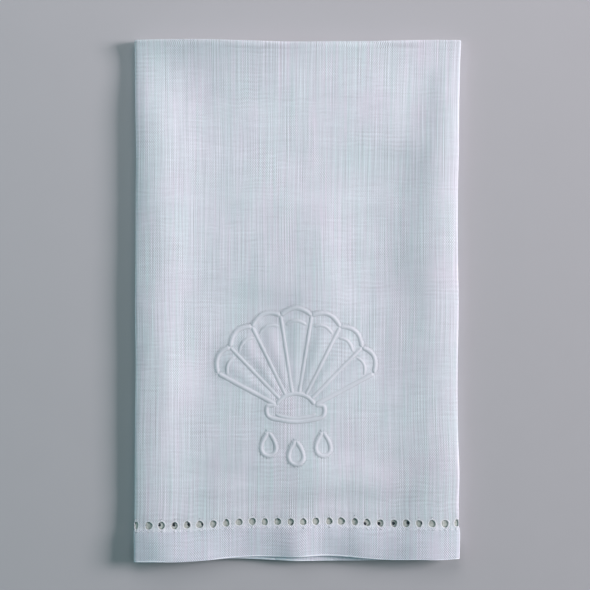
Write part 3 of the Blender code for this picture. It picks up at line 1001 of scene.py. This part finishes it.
def pattern_triangles():
    """Points and triangles of the flat pattern, with all its holes left out."""
    holes = sheet_holes()
    big = np.concatenate(holes[:len(EYELETS)])
    small = np.concatenate(holes[len(EYELETS):])
    grid = clear_of(grid_points(), big, GRID_CLEARANCE)
    grid = clear_of(grid, small, GRID_CLEARANCE / 2)
    points = [Vector(point) for point in grid]
    rings = []
    left, right, end = PATTERN_LEFT, PATTERN_RIGHT, PATTERN_END
    for ring in [[(left, 0.0), (right, 0.0), (right, end), (left, end)]] + holes:
        rings.append(range(len(points), len(points) + len(ring)))
        points += [Vector(point) for point in ring]
    found, _, faces, _, _, inside = delaunay_2d_cdt(points, [], rings, 0, POINT_MERGE)
    found = np.array([tuple(point) for point in found])
    kept = [tuple(face) for face, rings_round in zip(faces, inside) if len(rings_round) == 1]
    used, kept = np.unique(kept, return_inverse=True)
    return found[used], kept.reshape(-1, 3)


def boundary_edges(triangles):
    """Directed edges that only one triangle has."""
    edges = np.concatenate([triangles[:, [0, 1]], triangles[:, [1, 2]], triangles[:, [2, 0]]])
    keys = set(map(tuple, edges))
    return np.array([edge for edge in map(tuple, edges) if edge[::-1] not in keys])


def add_object(name, data):
    """Object in the scene."""
    made = bpy.data.objects.new(name, data)
    bpy.context.scene.collection.objects.link(made)
    return made


def make_mesh(name, points, faces, flat):
    """Object from folded points in millimetres, with each point's place on the pattern kept."""
    mesh = bpy.data.meshes.new(name)
    mesh.from_pydata((points + SHIFT) * MM, [], faces)
    mesh.update()
    kept = mesh.attributes.new("flat", "FLOAT_VECTOR", "POINT")
    kept.data.foreach_set("vector", np.ascontiguousarray(flat, np.float32).ravel())
    mesh.shade_smooth()
    mesh.set_sharp_from_angle(angle=math.radians(SHARP_ANGLE))
    return add_object(name, mesh)


def bake_map(mesh, flat, outer_triangles):
    """Map for baking: outer face and inner face side by side, cut edges in cells above them."""
    scale = BAKE_FACE / (PATTERN_RIGHT - PATTERN_LEFT)
    corners = np.empty(len(mesh.loops), np.int32)
    mesh.loops.foreach_get("vertex_index", corners)
    uv = np.column_stack([flat[corners, 0] - PATTERN_LEFT, flat[corners, 1]]) * scale + BAKE_MARGIN
    outer_end, inner_end = 3 * outer_triangles, 6 * outer_triangles
    uv[outer_end:inner_end, 0] += 0.5
    walls = (len(corners) - inner_end) // 4
    low = PATTERN_END * scale + BAKE_CELLS_GAP
    columns = math.ceil(math.sqrt(walls / (BAKE_CELLS_TOP - low)))
    rows = math.ceil(walls / columns)
    cell = np.arange(walls)
    near, far = BAKE_CELL
    corner = np.array([(near, near), (far, near), (far, far), (near, far)])
    place_in = np.column_stack([cell % columns, cell // columns])[:, None] + corner
    size = np.array([BAKE_CELLS_WIDTH / columns, (BAKE_CELLS_TOP - low) / rows])
    uv[inner_end:] = (place_in * size + (BAKE_CELLS_LEFT, low)).reshape(-1, 2)
    layer = mesh.uv_layers.new(name="OFBake")
    layer.uv.foreach_set("vector", uv.astype(np.float32).ravel())


def linen_sheet():
    """Folded sheet: both faces, its edges and the walls of its holes."""
    found, triangles = pattern_triangles()
    outer = place(np.column_stack([found, outer_face(found)]))
    inner = place(np.column_stack([found, -half_thickness(found)]))
    count = len(found)
    walls = boundary_edges(triangles)
    faces = triangles.tolist() + (triangles[:, ::-1] + count).tolist()
    faces += [(end, start, start + count, end + count) for start, end in walls.tolist()]
    flat = np.concatenate([
        np.column_stack([found, np.ones(count)]),
        np.column_stack([found, np.zeros(count)]),
    ])
    piece = make_mesh("napkin_linen", np.concatenate([outer, inner]), faces, flat)
    bake_map(piece.data, flat, len(triangles))
    return piece


# Stitched pieces, made of rings of points: across, along, and out from the sheet's middle

def tube(rings, closed, faces_from):
    """Faces of a tube through rings of points, numbered from a start."""
    ring_count, sides = rings.shape[:2]
    first = np.arange(ring_count if closed else ring_count - 1)[:, None] * sides
    following = (first + sides) % (ring_count * sides)
    side = np.arange(sides)
    after = (side + 1) % sides
    faces = np.stack([first + side, first + after, following + after, following + side], axis=2)
    faces = (faces.reshape(-1, 4) + faces_from).tolist()
    if not closed:
        faces.append([faces_from + number for number in range(sides)][::-1])
        last = faces_from + (ring_count - 1) * sides
        faces.append([last + number for number in range(sides)])
    return faces


def stitched_piece(name, parts):
    """One object from many small tubes laid on the sheet, folded with it."""
    points = []
    marks = []
    faces = []
    for rings, closed in parts:
        faces += tube(rings, closed, sum(len(chunk) for chunk in points))
        points.append(rings.reshape(-1, 3))
        out = rings[:, :, 2:]
        foot, top = out.min(axis=1, keepdims=True), out.max(axis=1, keepdims=True)
        marks.append(np.dstack([rings[:, :, :2], (out - foot) / (top - foot)]).reshape(-1, 3))
    return make_mesh(name, place(np.concatenate(points)), faces, np.concatenate(marks))


def strand(name, line):
    """Part of a thin strand from the table, laid along a line."""
    radius, flatness, sides, heights = STRANDS[name]
    level = np.array(heights) + outer_face(line)
    turn = angles(sides)
    beside = line[:, None] + normals(line)[:, None] * (radius * np.cos(turn))[:, None]
    height = level[:, None] + radius * flatness * np.sin(turn)
    return np.dstack([beside, height]), False


def cord(line, share):
    """Part of a satin-stitched cord, ribbed by its own stitches and tapered at its ends."""
    line = resampled(line, STITCH_PITCH / STITCH_STEPS)
    at = np.arange(len(line))
    rib = 1.0 - STITCH_GROOVE * (at % STITCH_STEPS == 0)
    length = at * STITCH_PITCH / STITCH_STEPS
    to_end = np.minimum(length, length[-1] - length)
    taper = np.sqrt(np.clip(to_end / CORD_TAPER, CORD_END_SHARE, 1.0))
    waver = CORD_WAVER * np.sin(length * CORD_WAVER_RATE + line[0, 0])
    uneven = 1.0 + waver + random.normal(0.0, CORD_SPREAD, len(line))
    half = CORD_WIDTH * share / 2 * taper * uneven * (1.0 - STITCH_EDGE_SHARE + STITCH_EDGE_SHARE * rib)
    aside = np.linspace(1.0, -1.0, CORD_SIDES)
    beside = line[:, None] + normals(line)[:, None] * (half[:, None] * aside)[:, :, None]
    crown = (1.0 - aside ** 2) ** CORD_ROUNDNESS
    height = (CORD_RISE * share * taper * rib * uneven)[:, None] * crown - CORD_SINK
    base = outer_face(beside.reshape(-1, 2)).reshape(height.shape)
    return np.dstack([beside, base + height]), False


def embroidery():
    """Satin-stitched cords of the shell and the drops."""
    cords = [(line, RIB_SHARE) for line in RIB_LINES[:-2]]
    cords += [(line, ECHO_SHARE) for line in ECHO_LINES]
    cords += [(line, 1.0) for line in RIB_LINES[-2:] + HINGE_LINES + LOBE_LINES + DROP_LINES]
    return stitched_piece("shell_embroidery", [cord(line, share) for line, share in cords])


def pin_stitches():
    """Short bars from each cord to its needle holes."""
    places = np.array(PIN_PLACES)[:, None]
    parts = [strand("pin_stitch", point + (hole - point) * places) for hole, point in PINS]
    return stitched_piece("pin_stitches", parts)


def eyelet_rims():
    """Overcast rims of the eyelets."""
    steps = RIM_WRAPS * RIM_STEPS_PER_WRAP
    turn = angles(steps)
    outward = np.column_stack([np.cos(turn), np.sin(turn)])
    wrap = 1.0 - RIM_GROOVE * (np.arange(steps) % RIM_STEPS_PER_WRAP == 0)
    rolled = -angles(RIM_SIDES)
    beside, above = (
        np.sign(part) * np.abs(part) ** RIM_SQUARENESS for part in (np.cos(rolled), np.sin(rolled))
    )
    parts = []
    for eyelet in EYELETS:
        share = min(1.0, eyelet["half_height"] * 2.0 / EYELET_HEIGHT)
        radial = (RIM_HALF_WIDTH * share * wrap)[:, None] * beside
        middle = eyelet_curve(eyelet, turn, RIM_HALF_WIDTH * share * RIM_INSET)
        ring = middle[:, None] + outward[:, None] * radial[:, :, None]
        depth = np.where(above > 0.0, outer_half(middle)[:, None], half_thickness(middle)[:, None])
        rise = RIM_RISE * share ** 2 * np.maximum(above, 0.0)
        parts.append((np.dstack([ring, wrap[:, None] * (depth * above + rise)]), True))
    return stitched_piece("eyelet_rims", parts)


def eyelet_bars():
    """Two drawn threads from each needle hole to the rim of its eyelet."""
    places = np.array(BAR_PLACES)[:, None]
    parts = []
    for eyelet in EYELETS:
        for reach in BAR_REACH:
            for lean in (-BAR_LEAN, BAR_LEAN):
                hole = np.array([eyelet["across"], eyelet["along"] + reach])
                to_rim = math.copysign(eyelet["half_height"] + RIM_HALF_WIDTH, reach)
                rim = np.array([eyelet["across"] + lean, eyelet["along"] + to_rim])
                parts.append(strand("bar", hole + (rim - hole) * places))
    return stitched_piece("eyelet_bars", parts)


def hem_stitches():
    """Running stitches that hold the hem, on the front and the panels behind."""
    share = np.linspace(0.0, 1.0, len(STRANDS["hem_stitch"][-1]))
    first, last = HEM_STITCH_MARGINS
    across_spread, along_spread = HEM_STITCH_SPREAD
    parts = []
    for start in np.arange(PATTERN_LEFT + first, PATTERN_RIGHT - last, HEM_STITCH_PITCH):
        across = start + random.normal(0.0, across_spread) + HEM_STITCH_LENGTH * share
        along = np.full(len(share), HEM_STITCH_ROW + random.normal(0.0, along_spread))
        parts.append(strand("hem_stitch", np.column_stack([across, along])))
    return stitched_piece("hem_stitches", parts)


# Materials

class Output:
    """One output of a node; arithmetic with it adds Math nodes."""

    def __init__(self, wiring, socket):
        self.wiring = wiring
        self.socket = socket

    def __add__(self, other):
        return self.wiring.math("ADD", self, other)

    def __sub__(self, other):
        return self.wiring.math("SUBTRACT", self, other)

    def __rsub__(self, other):
        return self.wiring.math("SUBTRACT", other, self)

    def __mul__(self, other):
        return self.wiring.math("MULTIPLY", self, other)

    def __truediv__(self, other):
        return self.wiring.math("DIVIDE", self, other)


class Wiring:
    """Adds nodes to a tree and joins them, up to its surface node."""

    def __init__(self, tree, surface):
        self.tree = tree
        self.surface = tree.nodes[surface]

    def feed(self, node, inputs):
        """Give a node its inputs, each a number, a colour or another node's output."""
        for name, value in inputs.items():
            socket = node.inputs[name]
            if isinstance(value, Output):
                self.tree.links.new(value.socket, socket)
            elif socket.type == "RGBA":
                socket.default_value = (*value, 1.0)
            else:
                socket.default_value = value

    def node(self, kind, inputs, output=0, **settings):
        """One output of a new node."""
        made = self.tree.nodes.new("ShaderNode" + kind)
        for key, value in settings.items():
            setattr(made, key, value)
        self.feed(made, inputs)
        return Output(self, made.outputs[output])

    def math(self, operation, *values):
        """Result of one sum on numbers or outputs."""
        return self.node("Math", dict(enumerate(values)), operation=operation)

    def mapped(self, value, low, high):
        """A value from 0 to 1 turned into one from low to high."""
        return self.math("MULTIPLY_ADD", value, high - low, low)

    def noise(self, across, along, detail):
        """Noise over two coordinates, from 0 to 1."""
        vector = self.node("CombineXYZ", {"X": across, "Y": along})
        inputs = {"Vector": vector, "Scale": 1.0, "Detail": detail}
        return self.node("TexNoise", inputs, noise_dimensions="2D")

    def streak(self, across, along, across_rate, along_rate, detail):
        """Noise drawn out along one direction."""
        return self.noise(across * across_rate, along * along_rate, detail)

    def drift(self, name, across, along):
        """One of the noises in the table."""
        *rates, low, high = NOISES[name]
        return self.mapped(self.streak(across, along, *rates), low, high)

    def thread_noise(self, number, length, step, rate, start=0.0):
        """Noise of single threads, drawn out along each and unlike from one to the next."""
        return self.noise(self.math("MULTIPLY_ADD", number, step, start), length * rate, 1.0)

    def near(self, value, middle, reach):
        """1 where a length is at its middle, falling to 0 at a reach off."""
        off = self.math("ABSOLUTE", value - middle)
        return self.math("MAXIMUM", 1.0 - off / reach, 0.0)

    def faded(self, value, start, end):
        """0 up to a start and 1 from an end, smooth between them."""
        inputs = {"Value": value, "From Min": start, "From Max": end}
        return self.node("MapRange", inputs, interpolation_type="SMOOTHSTEP")

    def pattern_place(self):
        """Across, along and the mark kept with each point of the pattern.

        The sheet's mark is 1 on its outer face and 0 on its inner one. A thread's goes from 0 at the
        lowest point of its ring to 1 at the highest.
        """
        kept = self.node("Attribute", {}, "Vector", attribute_name="flat")
        split = self.node("SeparateXYZ", {0: kept})
        return [Output(self, part) for part in split.socket.node.outputs]

    def tinted(self, colour, factor):
        """A colour made lighter or darker by a factor."""
        return self.node("VectorMath", {0: colour, "Scale": factor}, operation="SCALE")

    def mixed(self, factor, first, second):
        """Blend of two colours."""
        return self.node("Mix", {0: factor, 6: first, 7: second}, 2, data_type="RGBA")


def new_material(name):
    """A material and its wiring."""
    made = bpy.data.materials.new(name)
    made.use_nodes = True
    return made, Wiring(made.node_tree, "Principled BSDF")


def dyed(colour, tint):
    """A colour with each of its parts multiplied by a tint's."""
    return tuple(part * share for part, share in zip(colour, tint))


def plain_weave(w, across, along):
    """Numbers of the warp and the weft thread, a sign that turns at each crossing, and the height."""
    warp, weft = across / WARP_PITCH, along / WEFT_PITCH
    numbers = [w.math("FLOOR", way) for way in (warp, weft)]
    warp_round, weft_round = (w.math("SINE", w.math("FRACT", way) * math.pi) for way in (warp, weft))
    over = w.math("FLOORED_MODULO", numbers[0] + numbers[1], 2.0)
    warp_top = warp_round * w.mapped(weft_round, CROSSING_DIP, 1.0)
    weft_top = weft_round * w.mapped(warp_round, CROSSING_DIP, 1.0)
    height = w.node("Mix", {0: over, 2: weft_top, 3: warp_top}, data_type="FLOAT")
    crossing = w.math("SINE", warp * math.pi) * w.math("SINE", weft * math.pi)
    return *numbers, crossing, height


def with_painted_fold_light(w, tone, across, along):
    """Tone with a painted highlight on the left fold and hem edge, and painted shade on the top fold."""
    hem_edge = w.near(along, HEM_CREASE, CREASE_REACH)
    left_fold = w.near(across, FOLD_CREASE, CREASE_REACH)
    tone += w.math("MAXIMUM", hem_edge, left_fold) * PAINTED_RIM_HIGHLIGHT
    return tone - w.near(along, TOP_CREASE, TOP_CREASE_REACH) * TOP_CREASE_SHADE


def drifting(w, tone, across, along):
    """Tone with bars of denser weave and slack waves, which come and go."""
    dense = w.math("COSINE", along * (2.0 * math.pi / DENSE_PITCH))
    dense = w.math("POWER", w.math("MAXIMUM", dense, 0.0), DENSE_SHARPNESS)
    tone += dense * w.drift("dense", across, along) * DENSE_GAIN
    wave = w.math("SINE", w.drift("wander", across, along) + along * SLACK_RATE)
    return tone + wave * w.math("MAXIMUM", w.drift("slack", across, along), 0.0)


def dotted(w, tone, across, along, in_hem, crossing):
    """Tone with dots at the crossings, stronger on the hem and none past the front."""
    dots = w.math("MAXIMUM", w.drift("dots", across, along), LEAST_DOTS) + in_hem * HEM_DOTS
    dots *= w.math("LESS_THAN", w.math("ABSOLUTE", across), DOTS_EDGE)
    return tone + crossing * dots


def linen_material():
    """Plain weave of uneven flax threads, with slubs, denser bands and a faint change of hue."""
    made, w = new_material("linen")
    across, along, face = w.pattern_place()
    across, along = across + w.drift("sway", across, along), along + w.drift("bow", across, along)
    warp, weft, crossing, height = plain_weave(w, across, along)
    warp_tone = w.thread_noise(warp, along, *WARP_NOISE)
    warp_next = w.thread_noise(warp, along, *WARP_NOISE, WARP_NOISE[0])
    slub = w.streak(across, along, *SLUB_RATES)
    in_hem = w.math("LESS_THAN", along, HEM_BAND)

    contrast = w.math("MULTIPLY_ADD", in_hem, -HEM_WARP_CALM * WARP_CONTRAST, WARP_CONTRAST)
    tone = (warp_tone - warp_next) * contrast
    weft_tone = w.thread_noise(weft, across, *WEFT_NOISE)
    for noise, amount in ((warp_tone, WARP_TONE), (weft_tone, WEFT_TONE), (slub, SLUB_TONE)):
        tone += w.mapped(noise, -amount, amount)
    for name in ("fleck", "weft_slub", "warp_band", "weft_band"):
        tone += w.drift(name, across, along)
    tone = with_painted_fold_light(w, tone, across, along)
    tone = drifting(w, tone, across, along)
    tone = dotted(w, tone, across, along, in_hem, crossing)

    hue = w.drift("hue", across, along) + w.drift("hue_streak", across, along)
    hue += w.mapped(w.thread_noise(warp, along, *HUE_NOISE), -THREAD_HUE, THREAD_HUE)
    hue += w.mapped(warp_next, WARP_HUE, -WARP_HUE)
    hues = [dyed(LINEN_COLOUR, tint) for tint in (GREEN_TINT, LILAC_TINT)]
    doubled = w.mixed(hue, *(dyed(colour, HEM_TINT) for colour in hues))
    outer = w.mixed(in_hem, w.mixed(hue, *hues), doubled)
    # Inner faces within a reach of the eyelet row get a darker, warmer colour: painted shade inside the
    # eyelets
    from_row = w.math("ABSOLUTE", along - EYELET_ROW)
    clear_of_painted_shade = w.math("GREATER_THAN", face + from_row / ROW_PAINTED_SHADE_REACH, 1.0)
    colour = w.mixed(clear_of_painted_shade, ROW_PAINTED_SHADE_COLOUR, outer)

    raised = height + w.mapped(slub, -SLUB_RELIEF, SLUB_RELIEF)
    w.feed(w.surface, {
        "Base Color": w.tinted(colour, tone + 1.0),
        "Normal": w.node("Bump", {"Height": raised, "Distance": WEAVE_DEPTH * MM, "Strength": 1.0}),
        "Roughness": w.mapped(warp_tone, *LINEN_ROUGHNESS),
        **LINEN_FINISH,
    })
    return made


def thread_material(name, base):
    """Soft white embroidery cotton, with the lay of its fibres."""
    made, w = new_material(name)
    across, along, risen = w.pattern_place()
    fibre = w.streak(across, along, *FIBRE_RATES)
    worn = w.streak(across, along, *WORN_RATES)
    tone = w.mapped(fibre, *FIBRE_TONES) + w.mapped(worn, -WORN_TONE, WORN_TONE)
    # Painted shade: each thread is darker towards its foot, where it meets the cloth
    tone -= w.math("POWER", 1.0 - risen, 2.0) * FOOT_SHADE
    lay = {"Height": fibre, "Distance": FIBRE_DEPTH * MM, "Strength": FIBRE_STRENGTH}
    w.feed(w.surface, {
        "Base Color": w.tinted(w.mixed(worn, base, LINEN_COLOUR), tone + 1.0),
        "Normal": w.node("Bump", lay),
        "Roughness": w.mapped(fibre, *THREAD_ROUGHNESS),
        **THREAD_FINISH,
    })
    return made


def floor_material():
    """Pale matt board with the faintest mottling, which fades into the horizon far from the cloth."""
    made, w = new_material("floor")
    place_on = w.node("TexCoord", {}, "Object")
    mottle = w.node("TexNoise", {"Vector": place_on, **FLOOR_MOTTLE})
    far = w.faded(w.node("VectorMath", {0: place_on}, "Value", operation="LENGTH"), *FLOOR_FADE)
    near_colour = w.tinted(FLOOR_COLOUR, w.mapped(mottle, *FLOOR_TONES))
    w.feed(w.surface, {
        "Base Color": w.mixed(far, near_colour, (0.0, 0.0, 0.0)),
        "Emission Color": HORIZON_COLOUR,
        "Emission Strength": far * WORLD_STRENGTH,
        **FLOOR_FINISH,
    })
    return made


# Scene

def add_light(name, power, size, colour, location):
    """Square soft light that faces the cloth's middle."""
    light = bpy.data.lights.new(name, "AREA")
    light.energy = power
    light.size = size
    light.color = colour
    lamp = add_object(name, light)
    lamp.location = location
    lamp.rotation_euler = (-Vector(location)).to_track_quat("-Z", "Y").to_euler()


def around(azimuth, elevation, distance):
    """Place at an angle from +X in degrees, at an elevation and a distance."""
    turn, rise = math.radians(azimuth), math.radians(elevation)
    return (
        distance * math.cos(rise) * math.cos(turn),
        distance * math.cos(rise) * math.sin(turn),
        distance * math.sin(rise),
    )


def add_world():
    """Weak light from all round, paler at the horizon."""
    world = bpy.data.worlds.new("studio")
    world.use_nodes = True
    w = Wiring(world.node_tree, "Background")
    upwards = w.node("SeparateXYZ", {0: w.node("TexCoord", {}, "Generated")}, "Z")
    sky = w.mixed(w.faded(upwards, *HORIZON_FADE), HORIZON_COLOUR, WORLD_COLOUR)
    w.feed(w.surface, {"Color": sky, "Strength": WORLD_STRENGTH})
    bpy.context.scene.world = world


LIGHTS = [
    # name, power, side, colour, place
    ("key", 39.8, 0.60, LIGHT_COLOUR, around(KEY_AZIMUTH, KEY_ELEVATION, KEY_DISTANCE)),
    ("top", 0.66, 0.3, LIGHT_COLOUR, (0.0, 0.30, 0.34)),
    ("side", 0.35, 0.4, WORLD_COLOUR, (-0.5, 0.0, 0.3)),
]


def add_studio():
    """Pale floor, and one large soft light low on the right with two weak ones."""
    mesh = bpy.data.meshes.new("floor")
    turns = [(-1, -1), (1, -1), (1, 1), (-1, 1)]
    corners = [(x * FLOOR_HALF, y * FLOOR_HALF, -FLOOR_DROP) for x, y in turns]
    mesh.from_pydata(corners, [], [(0, 1, 2, 3)])
    mesh.materials.append(floor_material())
    floor = add_object("floor", mesh)
    for light in LIGHTS:
        add_light(*light)


def add_camera():
    """Camera straight above, at the photograph's scale and framing."""
    data = bpy.data.cameras.new("camera")
    data.lens = LENS
    data.sensor_width = SENSOR
    data.clip_start = 0.01
    camera = add_object("camera", data)
    centre = IMAGE_SIZE / 2
    height = IMAGE_SIZE * PIXEL * LENS / SENSOR + FRONT_FACE_Z
    camera.location = Vector((
        (centre - OBJECT_PIXEL[0]) * PIXEL + SHIFT[0],
        (OBJECT_PIXEL[1] - centre) * PIXEL + SHIFT[1],
        height,
    )) * MM
    bpy.context.scene.camera = camera


def outline_shift():
    """What brings the folded outline onto the frame's own box, in millimetres."""
    folds = np.linspace(HALF_FLAT, FOLD_EDGE, OUTLINE_ROWS)
    bends = np.linspace(FRONT_LENGTH, FRONT_LENGTH + TOP_FOLD_LENGTH, OUTLINE_ROWS)
    rim = np.concatenate([
        block(np.concatenate([-folds, folds]), np.linspace(0.0, PATTERN_END, OUTLINE_STEPS)),
        block(np.linspace(-FOLD_EDGE, FOLD_EDGE, OUTLINE_STEPS), np.concatenate([[0.0], bends])),
    ])
    folded = place(np.column_stack([rim, np.full(len(rim), SHEET_THICKNESS / 2)]))
    low, high = folded.min(axis=0), folded.max(axis=0)
    middle = (FRAME_LOW + FRAME_HIGH) / 2 / MM
    return np.array([middle.x - (low[0] + high[0]) / 2, middle.y - (low[1] + high[1]) / 2, 0.0])


SHIFT = outline_shift()


def build():
    linen = linen_material()
    thread = thread_material("thread", THREAD_COLOUR)
    floss = thread_material("embroidery_thread", EMBROIDERY_COLOUR)
    cloth = linen_sheet()
    cloth.data.materials.append(linen)
    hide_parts("napkin")
    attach(cloth, "root")
    sewn = [(piece, thread) for piece in (eyelet_rims(), eyelet_bars(), hem_stitches())]
    sewn += [(piece, floss) for piece in (embroidery(), pin_stitches())]
    for piece, material in sewn:
        piece.data.materials.append(material)
        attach(piece, "root")


build()
add_studio()
add_world()
add_camera()
bpy.context.scene.view_settings.view_transform = "Standard"
